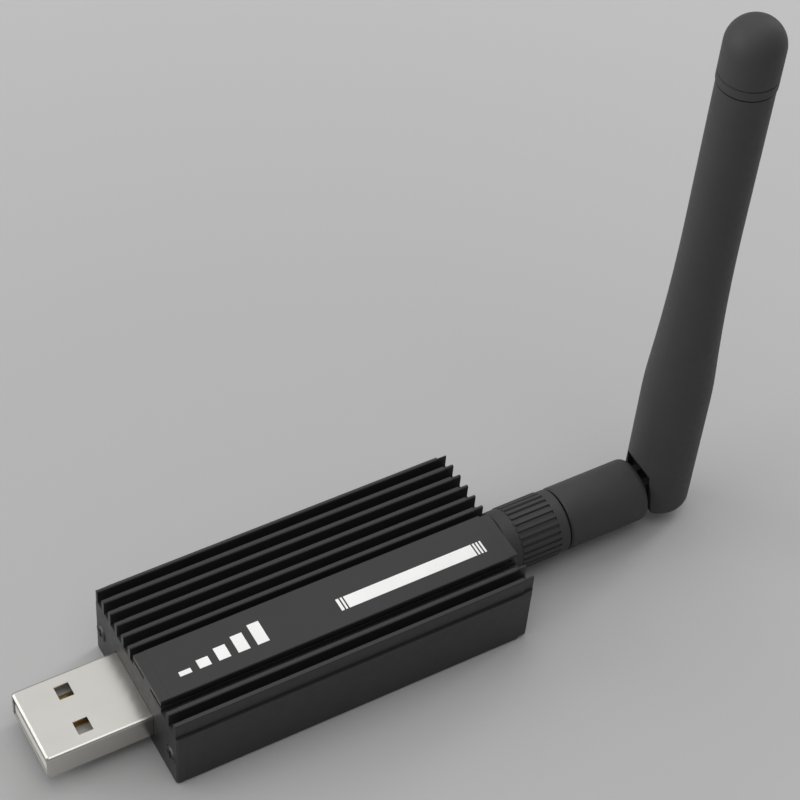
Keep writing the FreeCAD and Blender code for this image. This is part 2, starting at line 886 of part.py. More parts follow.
def knuckle_outline():
    """Turned outside of the knuckle: chamfer in front, rounded edge at the hinge end."""
    r = knuckle_radius
    edge = knuckle_edge_radius
    bend = edge * math.sqrt(0.5)

    def at(x, radius):
        return FreeCAD.Vector(x, 0, axis_height + radius)

    points = [
        at(knuckle_start, 0),
        at(knuckle_start, r - knuckle_chamfer),
        at(knuckle_start + knuckle_chamfer, r),
        at(knuckle_end - edge, r),
    ]
    lines = [Part.makeLine(a, b) for a, b in zip(points[:-1], points[1:])]
    middle = at(knuckle_end - edge + bend, r - edge + bend)
    arc = Part.Arc(points[-1], middle, at(knuckle_end, r - edge)).toShape()
    closing = [
        Part.makeLine(at(knuckle_end, r - edge), at(knuckle_end, 0)),
        Part.makeLine(at(knuckle_end, 0), points[0]),
    ]
    return Part.Face(Part.Wire(lines + [arc] + closing))


def across_y(radius, y0, y1):
    """Round bar along Y through the fold axis."""
    return Part.makeCylinder(radius, y1 - y0, FreeCAD.Vector(pivot_x, y0, axis_height), Y)


def make_knuckle():
    """Knuckle: turned body, two cheeks for the fold hinge with a stub pin on each, bore for the ferrule."""
    turned = knuckle_outline().revolve(FreeCAD.Vector(0, 0, axis_height), X, 360)
    pieces = [turned]
    for side in (1, -1):
        y0, y1 = sorted((side * cheek_outer, side * (cheek_outer - cheek_thickness)))
        z0, z1 = axis_height - cheek_radius, axis_height + cheek_radius
        arm = box(knuckle_end - knuckle_edge_radius, pivot_x, y0, y1, z0, z1)
        pieces += [arm, across_y(cheek_radius, y0, y1)]
        y0, y1 = sorted((side * (cheek_outer - cheek_thickness), side * (cheek_outer + trunnion_length)))
        pieces.append(across_y(trunnion_radius, y0, y1))
    knuckle = fused(pieces)
    bore_end = ferrule_end + running_clearance
    knuckle = knuckle.cut(rod_x(ferrule_neck_radius + running_clearance, knuckle_start, bore_end))
    clip_end = ferrule_end - clip_end_distance
    knuckle = knuckle.cut(
        rod_x(
            clip_outer_radius + running_clearance,
            clip_end - clip_thickness - running_clearance,
            clip_end + running_clearance,
        )
    )
    knuckle = knuckle.cut(rod_x(coax_channel_radius, bore_end, knuckle_end))
    return knuckle


def whip_profile():
    """Half section of the whip's sleeve in the plane y = 0, round its upright axis."""

    def at(radius, height):
        return FreeCAD.Vector(pivot_x + radius, 0, axis_height + height)

    edge = whip_base_edge
    foot = -whip_base_drop
    bend = edge * (1 - math.sqrt(0.5))
    corner = Part.Arc(
        at(whip_base_radius - edge, foot),
        at(whip_base_radius - bend, foot + bend),
        at(whip_base_radius, foot + edge),
    ).toShape()
    slope = 2 * (whip_base_radius - whip_radius) / (taper_end - taper_start)
    bulge = slope * (taper_bend - taper_start)
    hollow = slope * (taper_end - taper_bend)
    turn = at(whip_base_radius - bulge / 2, taper_bend)
    lower_middle = at(whip_base_radius - bulge / 8, (taper_start + taper_bend) / 2)
    upper_middle = at(whip_radius + hollow / 8, (taper_bend + taper_end) / 2)
    taper = [
        Part.Arc(at(whip_base_radius, taper_start), lower_middle, turn).toShape(),
        Part.Arc(turn, upper_middle, at(whip_radius, taper_end)).toShape(),
    ]
    groove_low = lower_ring_height - ring_width / 2
    groove_high = lower_ring_height + ring_width / 2
    seam = upper_ring_height - ring_width / 2
    upper = [
        at(whip_radius, taper_end),
        at(whip_radius, groove_low),
        at(whip_radius - ring_depth, groove_low),
        at(whip_radius - ring_depth, groove_high),
        at(cap_radius, groove_high),
        at(cap_radius, seam),
        at(cap_radius - ring_depth, seam + ring_width / 2),
        at(0, seam + ring_width / 2),
        at(0, foot),
        at(whip_base_radius - edge, foot),
    ]
    edges = [corner, Part.makeLine(at(whip_base_radius, foot + edge), at(whip_base_radius, taper_start))]
    edges += taper
    edges += [Part.makeLine(a, b) for a, b in zip(upper[:-1], upper[1:])]
    return Part.Face(Part.Wire(Part.__sortEdges__(edges)))


def hinge_slot():
    """Room in the whip's foot for the cheeks, from upright round to straight."""
    half = slot_half_width
    r = slot_radius
    reach = 2 * whip_base_radius
    z = axis_height
    round_part = across_y(r, -half, half)
    towards_knuckle = box(pivot_x - reach, pivot_x, -half, half, z - reach, z + r)
    downwards = box(pivot_x - reach, pivot_x + r, -half, half, z - reach, z)
    return fused([round_part, towards_knuckle, downwards])


def side_cut(points, half_width):
    """Straight cut along Y from (x, z) corner points that are measured from the fold axis."""
    corners = [FreeCAD.Vector(pivot_x + x, -half_width, axis_height + z) for x, z in points]
    return Part.Face(Part.makePolygon(corners + corners[:1])).extrude(Y * 2 * half_width)


def relief_cut():
    """Slanted cut on the whip's inner side that clears the knuckle, deeper between the fork's arms."""
    reach = 2 * whip_base_radius
    foot = whip_base_drop
    roof = [
        (-reach, relief_top + (reach - whip_base_radius)),
        (-whip_base_radius, relief_top),
    ]
    arms = roof + [
        (-relief_bend_offset, relief_bend_height),
        (-relief_foot_offset, relief_foot_chamfer - foot),
        (relief_foot_chamfer - relief_foot_offset, -foot),
        (relief_foot_chamfer - relief_foot_offset, -2 * foot),
        (-reach, -2 * foot),
    ]
    slope = (relief_top - relief_bend_height) / (whip_base_radius - relief_bend_offset)
    pocket = roof + [
        (-relief_pocket_offset, relief_top - slope * (whip_base_radius - relief_pocket_offset)),
        (-relief_pocket_offset, -2 * foot),
        (-reach, -2 * foot),
    ]
    return side_cut(arms, reach).fuse(side_cut(pocket, relief_pocket_half_width))


def make_whip_sleeve():
    """Whip: tapered sleeve whose foot is a fork for the knuckle's cheeks."""
    sleeve = whip_profile().revolve(pivot, Z, 360)
    seam = axis_height + upper_ring_height
    sleeve = sleeve.cut(hinge_slot())
    sleeve = sleeve.cut(relief_cut())
    bearing = trunnion_radius + hinge_clearance
    depth = cheek_outer + trunnion_length + cheek_clearance
    sleeve = sleeve.cut(across_y(bearing, -depth, depth))
    sleeve = sleeve.cut(rod_z(coax_channel_radius, axis_height, axis_height + whip_bore_start, pivot_x))
    return sleeve.cut(rod_z(whip_bore_radius, axis_height + whip_bore_start, seam, pivot_x))


def make_whip_cap():
    """Domed cap with a hollow spigot that plugs into the sleeve."""
    base = axis_height + upper_ring_height
    dome_centre = axis_height + tip_height - cap_radius
    skirt_start = base + ring_width / 2
    dome = Part.makeSphere(cap_radius, FreeCAD.Vector(pivot_x, 0, dome_centre), Z, 0, 90, 360)
    skirt = rod_z(cap_radius, skirt_start, dome_centre, pivot_x)
    seam = rod_z(cap_radius - ring_depth, base, skirt_start, pivot_x)
    spigot_radius = whip_bore_radius - running_clearance
    spigot = rod_z(spigot_radius, base - cap_spigot_length, base, pivot_x)
    cap = fused([dome, skirt, seam, spigot])
    return cap.cut(rod_z(spigot_radius - cap_spigot_wall, base - cap_spigot_length, dome_centre, pivot_x))


def coax_path():
    """Route of the thin coaxial lead: through the knuckle, round the fold axis and up the whip."""
    r = coax_bend_radius
    start = FreeCAD.Vector(flange_end, 0, axis_height)
    bend_start = FreeCAD.Vector(pivot_x - r, 0, axis_height)
    bend_middle = FreeCAD.Vector(pivot_x - r + r * math.sqrt(0.5), 0, axis_height + r - r * math.sqrt(0.5))
    bend_end = FreeCAD.Vector(pivot_x, 0, axis_height + r)
    end = FreeCAD.Vector(pivot_x, 0, axis_height + coax_end_height)
    return Part.Wire(
        [
            Part.makeLine(start, bend_start),
            Part.Arc(bend_start, bend_middle, bend_end).toShape(),
            Part.makeLine(bend_end, end),
        ]
    )


def make_coax():
    circle = Part.makeCircle(coax_radius, FreeCAD.Vector(flange_end, 0, axis_height), X)
    return coax_path().makePipeShell([Part.Wire([circle])], True, False)


def make_choke():
    """Metal tube round the coaxial lead: the lower half of the aerial, with a floor at its upper end."""
    z0 = axis_height + choke_start
    z1 = z0 + choke_length
    tube = rod_z(choke_outer_radius, z0, z1, pivot_x)
    tube = tube.cut(rod_z(choke_outer_radius - choke_wall, z0, z1 - choke_wall, pivot_x))
    return tube.cut(rod_z(coax_radius + running_clearance, z1 - choke_wall, z1, pivot_x))


def make_radiator():
    """Upper half of the aerial: a straight wire that carries on from the lead's inner conductor."""
    z0 = axis_height + coax_end_height
    return rod_z(radiator_radius, z0, z0 + radiator_length, pivot_x)


def make_spacer(height, hole_radius):
    """Foam disc that centres the wiring in the sleeve."""
    z0 = axis_height + height
    disc = rod_z(whip_bore_radius, z0, z0 + spacer_thickness, pivot_x)
    return disc.cut(rod_z(hole_radius, z0, z0 + spacer_thickness, pivot_x))


def make_spacers():
    low = make_spacer(whip_bore_start, coax_radius + running_clearance)
    high = make_spacer(coax_end_height + radiator_length - 2 * spacer_thickness, radiator_radius)
    return Part.makeCompound([low, high])


pieces = {
    "housing_extrusion": make_extrusion(),
    "usb_end_plate": make_usb_plate(),
    "antenna_end_plate": make_antenna_plate(),
    "usb_end_screws": make_screws(usb_face, 1),
    "antenna_end_screws": make_screws(antenna_face, -1),
    "circuit_board": make_circuit_board(),
    "usb_shell": make_usb_shell(),
    "usb_insulator": make_usb_insulator(),
    "usb_contacts": make_usb_contacts(),
    "radio_chip": make_chip(radio_chip_size, board_end - radio_chip_from_end, radio_chip_y),
    "usb_bridge_chip": make_chip(bridge_chip_size, board_start + bridge_chip_from_end, bridge_chip_y),
    "voltage_regulator": make_regulator(),
    "main_crystal": make_crystal(main_crystal_size, board_end - main_crystal_from_end, radio_chip_y),
    "clock_crystal": make_crystal(clock_crystal_size, board_end - clock_crystal_from_end, clock_crystal_y),
    "status_leds": make_leds(),
    "chip_capacitors": make_capacitors(),
    "matching_filter": make_filter_parts(),
    "boot_switch_case": make_switch_case(board_start + boot_switch_from_end),
    "boot_button": make_switch_button(board_start + boot_switch_from_end),
    "reset_switch_case": make_switch_case(board_start + reset_switch_from_end),
    "reset_button": make_switch_button(board_start + reset_switch_from_end),
    "jack_body": make_jack_body(),
    "jack_dielectric": make_jack_dielectric(),
    "jack_contact": make_jack_contact(),
    "jack_lock_washer": make_lock_washer(),
    "jack_hex_nut": make_hex_nut(),
    "coupling_nut": make_nut_core(),
    "nut_grip": make_nut_grip(),
    "antenna_ferrule": make_ferrule(),
    "antenna_plug_dielectric": make_plug_dielectric(),
    "antenna_plug_pin": make_plug_pin(),
    "swivel_clip": make_swivel_clip(),
    "antenna_knuckle": make_knuckle(),
    "antenna_coax": make_coax(),
    "whip_sleeve": make_whip_sleeve(),
    "whip_cap": make_whip_cap(),
    "aerial_choke_tube": make_choke(),
    "aerial_radiator": make_radiator(),
    "aerial_spacers": make_spacers(),
}

os.makedirs("parts", exist_ok=True)
for name, shape in pieces.items():
    shape.exportStep(os.path.join("parts", name + ".step"))
    print(name, "solids", len(shape.Solids), "valid", shape.isValid(), "volume", round(shape.Volume, 2))
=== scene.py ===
import json
import math

import bmesh
import bpy
from mathutils import Matrix, Vector


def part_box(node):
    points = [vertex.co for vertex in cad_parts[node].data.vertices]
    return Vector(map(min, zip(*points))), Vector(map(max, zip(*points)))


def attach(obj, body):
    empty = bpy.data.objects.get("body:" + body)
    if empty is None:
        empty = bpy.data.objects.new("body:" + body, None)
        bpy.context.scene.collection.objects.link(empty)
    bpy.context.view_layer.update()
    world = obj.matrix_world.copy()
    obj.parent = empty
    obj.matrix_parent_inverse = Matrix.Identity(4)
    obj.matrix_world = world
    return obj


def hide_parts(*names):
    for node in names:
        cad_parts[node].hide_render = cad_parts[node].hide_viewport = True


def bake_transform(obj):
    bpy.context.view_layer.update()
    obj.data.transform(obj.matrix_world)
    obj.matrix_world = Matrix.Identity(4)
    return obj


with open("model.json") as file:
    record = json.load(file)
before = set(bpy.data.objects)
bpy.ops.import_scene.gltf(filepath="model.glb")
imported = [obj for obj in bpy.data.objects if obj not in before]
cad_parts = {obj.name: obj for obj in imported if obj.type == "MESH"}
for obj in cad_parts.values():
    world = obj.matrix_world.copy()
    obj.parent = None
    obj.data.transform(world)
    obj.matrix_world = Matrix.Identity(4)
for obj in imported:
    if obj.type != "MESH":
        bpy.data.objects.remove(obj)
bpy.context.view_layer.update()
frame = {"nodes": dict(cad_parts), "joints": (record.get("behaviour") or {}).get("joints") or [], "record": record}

MM = 0.001

# Camera: its place, angles and lens are fitted to the corners of the housing, the plug and the
# antenna in the photograph
CAMERA_PLACE = (-0.09948, -0.16691, 0.26997)
CAMERA_AZIMUTH = -33.385
CAMERA_ELEVATION = 48.295
CAMERA_ROLL = 5.5255
CAMERA_LENS = 106.228
CAMERA_SENSOR_WIDTH = 36.0
CAMERA_NEAREST = 0.01
CAMERA_FARTHEST = 20.0

# White print on the flat band: how thick the ink is, and where each print lies
INK_THICKNESS = 0.015 * MM
BARS_START_X = -23.2 * MM
BARS_FOOT_Y = -5.5 * MM
BAR_COUNT = 5
BAR_WIDTH = 1.75 * MM
BAR_PITCH = 2.85 * MM
BAR_FIRST_HEIGHT = 0.75 * MM
BAR_STEP = 0.7 * MM
LABEL_START_X = 0.85 * MM
LABEL_END_X = 23.65 * MM
LABEL_LOW_Y = -5.55 * MM
LABEL_HIGH_Y = -3.5 * MM
LABEL_GAP = 0.22 * MM
LABEL_STRIPE = 0.3 * MM
LABEL_EDGE_STRIPE = 0.45 * MM
LABEL_TAIL_STRIPES = 3

# Coaxial jack with its thread cut, measured as the CAD solid is
JACK_SIDES = 64
JACK_CREST_RADIUS = 3.1 * MM
JACK_ROOT_RADIUS = 2.74 * MM
JACK_PITCH = 0.7056 * MM
JACK_STEPS_PER_PITCH = 10
JACK_BORE_RADIUS = 2.05 * MM
JACK_SOCKET_RADIUS = 2.3 * MM
JACK_SOCKET_DEPTH = 1.95 * MM
JACK_FLANGE_HALF = 3.175 * MM
JACK_FLANGE_THICKNESS = 1.6 * MM
JACK_LEG_LENGTH = 4.0 * MM
JACK_LEG_WIDTH = 1.0 * MM
JACK_LEG_HEIGHT = 1.9 * MM
JACK_BLANK_LENGTH = 1.5 * MM
JACK_EDGE = 0.25 * MM

# Thread profile: where the crest ends and the root starts, in half pitches from the crest's middle
THREAD_CREST_END = 1 / 6
THREAD_ROOT_START = 4 / 9

# Thin coaxial lead through the hinge
LEAD_RADIUS = 0.6 * MM
LEAD_BEND_RADIUS = 4.0 * MM
LEAD_SIDES = 20
LEAD_BEND_STEPS = 28
LEAD_RUN_STEPS = 6

# Lamps, which all face one point: azimuth and elevation in degrees, distance in metres, width and
# height in metres, radiance
LIGHT_CENTRE = Vector((0.015, 0.0, 0.03))
LAMPS = {
    "softbox_top": (146.6, 50.0, 1.5, (1.6, 1.24), 0.66),
    "softbox_overhead": (-33.0, 86.0, 1.8, (1.8, 1.8), 1.4),
    "softbox_plug_end": (-112.0, 18.0, 2.8, (3.2, 1.7), 3.05),
    "strip_right": (105.0, 36.0, 1.4, (0.32, 1.2), 4.2),
    "small_box_plug_lip": (-139.0, 43.0, 1.5, (0.42, 0.3), 2.4),
}

# Surround: its tone, and its strength as a light and where it is looked at
SURROUND_TONE = 0.65
SURROUND_AS_LIGHT = 0.45
SURROUND_AS_SEEN = 0.85

# Floor: how far it reaches, and its tone at a few distances from the object. The deeper tone close to the object
# is painted shade, a shadow pool round it, and the small fall in tone far out is painted shade that keeps the
# lamp-lit far floor from glaring
FLOOR_RADIUS = 1.2
FLOOR_SIDES = 96
FLOOR_TONES_WITH_PAINTED_SHADE = ((0.06, 0.43), (0.3, 0.56), (1.2, 0.53))

# Noise stays between these values nearly everywhere
NOISE_LOW = 0.3
NOISE_HIGH = 0.7


def noise(tree, size, detail=2.0, stretch=(1.0, 1.0, 1.0)):
    """Noise with features about size metres across, longer along an axis whose stretch is above 1."""
    coordinates = tree.nodes.new("ShaderNodeTexCoord")
    mapping = tree.nodes.new("ShaderNodeMapping")
    mapping.inputs["Scale"].default_value = [1.0 / (size * share) for share in stretch]
    texture = tree.nodes.new("ShaderNodeTexNoise")
    texture.inputs["Scale"].default_value = 1.0
    texture.inputs["Detail"].default_value = detail
    tree.links.new(coordinates.outputs["Object"], mapping.inputs["Vector"])
    tree.links.new(mapping.outputs["Vector"], texture.inputs["Vector"])
    return texture.outputs["Fac"]


def plain(name, roughness, metallic=0.0, specular=0.5, transmission=0.0):
    """New material with its constants set on the shader's own sockets."""
    material = bpy.data.materials.new(name)
    material.use_nodes = True
    shader = material.node_tree.nodes["Principled BSDF"]
    shader.inputs["Roughness"].default_value = roughness
    shader.inputs["Metallic"].default_value = metallic
    shader.inputs["Specular IOR Level"].default_value = specular
    shader.inputs["Transmission Weight"].default_value = transmission
    return material, material.node_tree, shader


def vary_colour(tree, shader, factor, colour, spread):
    """Base colour that drifts between a darker and a lighter tone of the same colour."""
    mix = tree.nodes.new("ShaderNodeMix")
    mix.data_type = "RGBA"
    mix.inputs["A"].default_value = [tone * (1 - spread) for tone in colour] + [1.0]
    mix.inputs["B"].default_value = [tone * (1 + spread) for tone in colour] + [1.0]
    tree.links.new(factor, mix.inputs["Factor"])
    tree.links.new(mix.outputs["Result"], shader.inputs["Base Color"])


def vary_roughness(tree, shader, factor, middle, spread):
    """Roughness that drifts by about the spread to either side of its middle."""
    span = tree.nodes.new("ShaderNodeMapRange")
    span.inputs["From Min"].default_value = NOISE_LOW
    span.inputs["From Max"].default_value = NOISE_HIGH
    span.inputs["To Min"].default_value = middle - spread
    span.inputs["To Max"].default_value = middle + spread
    tree.links.new(factor, span.inputs["Value"])
    tree.links.new(span.outputs["Result"], shader.inputs["Roughness"])


def raise_grain(tree, shader, factor, height):
    """Bump of the given height in metres, laid over any bump that the shader has already."""
    bump = tree.nodes.new("ShaderNodeBump")
    bump.inputs["Distance"].default_value = height
    bump.inputs["Strength"].default_value = 1.0
    tree.links.new(factor, bump.inputs["Height"])
    normal = shader.inputs["Normal"]
    if normal.is_linked:
        tree.links.new(normal.links[0].from_socket, bump.inputs["Normal"])
    tree.links.new(bump.outputs["Normal"], normal)


def anodised_black():
    """Black anodised aluminium: fine blasted grain over faint lines from the extrusion die."""
    material, tree, shader = plain("anodised_black", roughness=0.45, specular=0.42)
    patches = noise(tree, 6 * MM, detail=4.0)
    sheen = noise(tree, 1.5 * MM, detail=3.0)
    grain = noise(tree, 0.12 * MM, detail=3.0)
    die_lines = noise(tree, 0.25 * MM, stretch=(120.0, 1.0, 1.0))
    vary_colour(tree, shader, patches, colour=(0.02, 0.02, 0.0207), spread=0.12)
    vary_roughness(tree, shader, sheen, middle=0.45, spread=0.04)
    raise_grain(tree, shader, grain, height=0.004 * MM)
    raise_grain(tree, shader, die_lines, height=0.003 * MM)
    return material


def bright_nickel():
    """Satin nickel plate with soft lengthwise brushing and a few duller patches."""
    material, tree, shader = plain("bright_nickel", roughness=0.24, metallic=1.0)
    patches = noise(tree, 5 * MM, detail=3.0)
    sheen = noise(tree, 2.5 * MM, detail=1.0, stretch=(3.0, 1.0, 1.0))
    brushing = noise(tree, 0.3 * MM, detail=0.0, stretch=(25.0, 1.0, 1.0))
    vary_colour(tree, shader, patches, colour=(0.58, 0.565, 0.53), spread=0.015)
    vary_roughness(tree, shader, sheen, middle=0.24, spread=0.02)
    raise_grain(tree, shader, brushing, height=0.0004 * MM)
    return material


def blackened_steel():
    """Black zinc plate on a screw, a nut or a washer, a little worn in patches."""
    material, tree, shader = plain("blackened_steel", roughness=0.5, metallic=1.0)
    patches = noise(tree, 0.6 * MM, detail=4.0)
    sheen = noise(tree, 0.4 * MM, detail=3.0)
    grain = noise(tree, 0.09 * MM)
    vary_colour(tree, shader, patches, colour=(0.07, 0.07, 0.072), spread=0.25)
    vary_roughness(tree, shader, sheen, middle=0.5, spread=0.08)
    raise_grain(tree, shader, grain, height=0.002 * MM)
    return material


def gold_plate():
    """Thin gold plate over turned brass."""
    material, tree, shader = plain("gold_plate", roughness=0.34, metallic=1.0)
    patches = noise(tree, 2 * MM, detail=3.0)
    sheen = noise(tree, 0.5 * MM, detail=3.0)
    turning_lines = noise(tree, 0.05 * MM, stretch=(1.0, 12.0, 12.0))
    vary_colour(tree, shader, patches, colour=(0.75, 0.53, 0.24), spread=0.06)
    vary_roughness(tree, shader, sheen, middle=0.34, spread=0.05)
    raise_grain(tree, shader, turning_lines, height=0.001 * MM)
    return material


def spring_steel():
    """Plain spring steel strip."""
    material, tree, shader = plain("spring_steel", roughness=0.35, metallic=1.0)
    patches = noise(tree, 1 * MM, detail=3.0)
    sheen = noise(tree, 0.3 * MM)
    grain = noise(tree, 0.05 * MM)
    vary_colour(tree, shader, patches, colour=(0.5, 0.5, 0.5), spread=0.08)
    vary_roughness(tree, shader, sheen, middle=0.35, spread=0.06)
    raise_grain(tree, shader, grain, height=0.001 * MM)
    return material


def solder_mask():
    """Green solder mask, slightly raised where copper tracks run below it."""
    material, tree, shader = plain("solder_mask", roughness=0.32)
    tracks = noise(tree, 0.5 * MM, detail=0.0, stretch=(8.0, 1.0, 1.0))
    grain = noise(tree, 0.12 * MM)
    vary_colour(tree, shader, tracks, colour=(0.012, 0.06, 0.03), spread=0.3)
    raise_grain(tree, shader, tracks, height=0.03 * MM)
    raise_grain(tree, shader, grain, height=0.002 * MM)
    return material


def moulded(name, colour, roughness, grain_size, grain_height, specular=0.5, transmission=0.0):
    """Moulded, fired or printed finish: cloudy tone, uneven sheen and a fine grain."""
    material, tree, shader = plain(name, roughness, specular=specular, transmission=transmission)
    clouds = noise(tree, 4 * MM, detail=3.0)
    sheen = noise(tree, 1 * MM, detail=3.0)
    grain = noise(tree, grain_size, detail=3.0)
    vary_colour(tree, shader, clouds, colour, spread=0.08)
    vary_roughness(tree, shader, sheen, middle=roughness, spread=0.05)
    raise_grain(tree, shader, grain, height=grain_height)
    return material


def chip_black():
    """Moulded package of a chip."""
    colour = (0.02, 0.02, 0.021)
    return moulded("chip_black", colour, roughness=0.6, grain_size=0.08 * MM, grain_height=0.004 * MM)


def ceramic():
    """Fired ceramic body of a small part on the board."""
    colour = (0.42, 0.33, 0.24)
    return moulded("ceramic", colour, roughness=0.5, grain_size=0.1 * MM, grain_height=0.003 * MM)


def led_clear():
    """Clear lens of a status light."""
    colour = (0.75, 0.75, 0.68)
    return moulded(
        "led_clear", colour, roughness=0.15, grain_size=0.3 * MM, grain_height=0.001 * MM,
        transmission=0.4,
    )


def black_moulding():
    """Black plastic of the push buttons."""
    colour = (0.03, 0.028, 0.026)
    return moulded("black_moulding", colour, roughness=0.5, grain_size=0.1 * MM, grain_height=0.004 * MM)


def pale_moulding():
    """Pale plastic of the plug's tongue."""
    colour = (0.6, 0.59, 0.56)
    return moulded("pale_moulding", colour, roughness=0.45, grain_size=0.15 * MM, grain_height=0.003 * MM)


def white_insulator():
    """White insulator in a coaxial connector, and foam spacer of the aerial."""
    colour = (0.8, 0.8, 0.78)
    return moulded("white_insulator", colour, roughness=0.4, grain_size=0.2 * MM, grain_height=0.002 * MM)


def antenna_plastic():
    """Semi-matte black plastic of the antenna, with the spark-eroded grain of its mould."""
    colour = (0.045, 0.045, 0.0458)
    return moulded(
        "antenna_plastic", colour, roughness=0.6, grain_size=0.14 * MM, grain_height=0.006 * MM,
        specular=0.3,
    )


def coax_jacket():
    """Thin brown jacket of the coaxial lead."""
    colour = (0.09, 0.05, 0.035)
    return moulded("coax_jacket", colour, roughness=0.4, grain_size=0.2 * MM, grain_height=0.002 * MM)


def white_ink():
    """Screen-printed ink, a little uneven in tone and grainy at its surface."""
    colour = (0.84, 0.84, 0.83)
    return moulded("white_ink", colour, roughness=0.55, grain_size=0.07 * MM, grain_height=0.003 * MM)


MATERIALS = {
    "anodised_black": anodised_black(),
    "blackened_steel": blackened_steel(),
    "bright_nickel": bright_nickel(),
    "gold_plate": gold_plate(),
    "spring_steel": spring_steel(),
    "solder_mask": solder_mask(),
    "chip_black": chip_black(),
    "ceramic": ceramic(),
    "led_clear": led_clear(),
    "black_moulding": black_moulding(),
    "pale_moulding": pale_moulding(),
    "white_insulator": white_insulator(),
    "antenna_plastic": antenna_plastic(),
    "coax_jacket": coax_jacket(),
    "white_ink": white_ink(),
}


def dress_nodes():
    """Every CAD node gets the finish of its slot in the record."""
    for part in frame["record"]["subparts"]:
        node = frame["nodes"][part["node"]]
        node.data.materials.clear()
        node.data.materials.append(MATERIALS[part["material_slot"]])


def mesh_of(name, build):
    """Mesh of all that was built, which ends the building."""
    mesh = bpy.data.meshes.new(name)
    build.to_mesh(mesh)
    build.free()
    return mesh


def add_piece(name, mesh, material):
    """New object in the scene with one finish."""
    piece = bpy.data.objects.new(name, mesh)
    bpy.context.scene.collection.objects.link(piece)
    mesh.materials.append(material)
    return piece


def join_rings(build, rings, smooth):
    """Walls from each ring of points to the next one."""
    for before, after in zip(rings[:-1], rings[1:]):
        for side in range(len(before)):
            following = (side + 1) % len(before)
            face = build.faces.new((before[side], before[following], after[following], after[side]))
            face.smooth = smooth


def add_slab(build, low, high, floor, thickness):
    """Thin flat block with a slightly narrowed top, from corner low to corner high."""
    rings = []
    for z, inset in ((floor, 0.0), (floor + thickness, thickness / 2)):
        x0, y0 = low[0] + inset, low[1] + inset
        x1, y1 = high[0] - inset, high[1] - inset
        rings.append([build.verts.new((x, y, z)) for x, y in ((x0, y0), (x1, y0), (x1, y1), (x0, y1))])
    bottom, top = rings
    build.faces.new(bottom[::-1])
    build.faces.new(top)
    join_rings(build, rings, smooth=False)


def add_print(name, slabs):
    """One print of several slabs of ink on the band."""
    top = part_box("housing_extrusion")[1].z
    build = bmesh.new()
    for low, high in slabs:
        add_slab(build, low, high, top, INK_THICKNESS)
    piece = add_piece(name, mesh_of(name, build), MATERIALS["white_ink"])
    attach(piece, "stick")


def add_signal_bars():
    """Generic mark: bars that grow towards the antenna."""
    slabs = []
    for step in range(BAR_COUNT):
        x = BARS_START_X + BAR_PITCH * step
        height = BAR_FIRST_HEIGHT + BAR_STEP * step
        slabs.append(((x, BARS_FOOT_Y), (x + BAR_WIDTH, BARS_FOOT_Y + height)))
    add_print("signal_bars_print", slabs)


def add_label_bar():
    """Plain white bar with two stripes at its start and three at its end."""
    first_end = LABEL_START_X + LABEL_EDGE_STRIPE
    second_start = first_end + LABEL_GAP
    second_end = second_start + LABEL_STRIPE
    tail_pitch = LABEL_STRIPE + LABEL_GAP
    bar_end = LABEL_END_X - LABEL_TAIL_STRIPES * tail_pitch
    spans = [(LABEL_START_X, first_end), (second_start, second_end), (second_end + LABEL_GAP, bar_end)]
    for step in range(LABEL_TAIL_STRIPES):
        start = bar_end + LABEL_GAP + step * tail_pitch
        spans.append((start, start + LABEL_STRIPE))
    slabs = [((x0, LABEL_LOW_Y), (x1, LABEL_HIGH_Y)) for x0, x1 in spans]
    add_print("label_bar_print", slabs)


def thread_radius(x, angle, start, end):
    """Radius of the threaded barrel at a place along it and round it."""
    turn = ((x - start) / JACK_PITCH - angle / (2 * math.pi)) % 1.0
    from_crest = abs(2 * turn - 1)
    rise = (THREAD_ROOT_START - from_crest) / (THREAD_ROOT_START - THREAD_CREST_END)
    rise = min(1.0, max(0.0, rise))
    radius = JACK_ROOT_RADIUS + (JACK_CREST_RADIUS - JACK_ROOT_RADIUS) * rise
    return min(radius, JACK_CREST_RADIUS - JACK_EDGE + max(0.0, end - x))


def square_radius(angle):
    """Distance from the middle of the square flange to its outline."""
    return JACK_FLANGE_HALF / max(abs(math.cos(angle)), abs(math.sin(angle)))


def add_ring(build, x, axis_z, radius_at):
    """Ring of points across X round the antenna axis, with a radius that may change round it."""
    ring = []
    for side in range(JACK_SIDES):
        angle = 2 * math.pi * side / JACK_SIDES
        radius = radius_at(angle)
        ring.append(build.verts.new((x, radius * math.cos(angle), axis_z + radius * math.sin(angle))))
    return ring


def add_block(build, low, high):
    """Block between two opposite corners."""
    corners = []
    for x in (low[0], high[0]):
        for y in (low[1], high[1]):
            for z in (low[2], high[2]):
                corners.append(build.verts.new((x, y, z)))
    for face in ((0, 1, 3, 2), (4, 6, 7, 5), (0, 4, 5, 1), (2, 3, 7, 6), (0, 2, 6, 4), (1, 5, 7, 3)):
        build.faces.new([corners[corner] for corner in face])


def add_jack_legs(build, flange_back, axis_z):
    """Four legs that are soldered above and below the board."""
    board_low, board_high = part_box("circuit_board")
    half = JACK_FLANGE_HALF
    start = flange_back - JACK_LEG_LENGTH
    for side in (1, -1):
        y0, y1 = sorted((side * half, side * (half - JACK_LEG_WIDTH)))
        add_block(build, (start, y0, board_high.z), (flange_back, y1, board_high.z + JACK_LEG_HEIGHT))
        add_block(build, (start, y0, axis_z - half), (flange_back, y1, board_low.z))


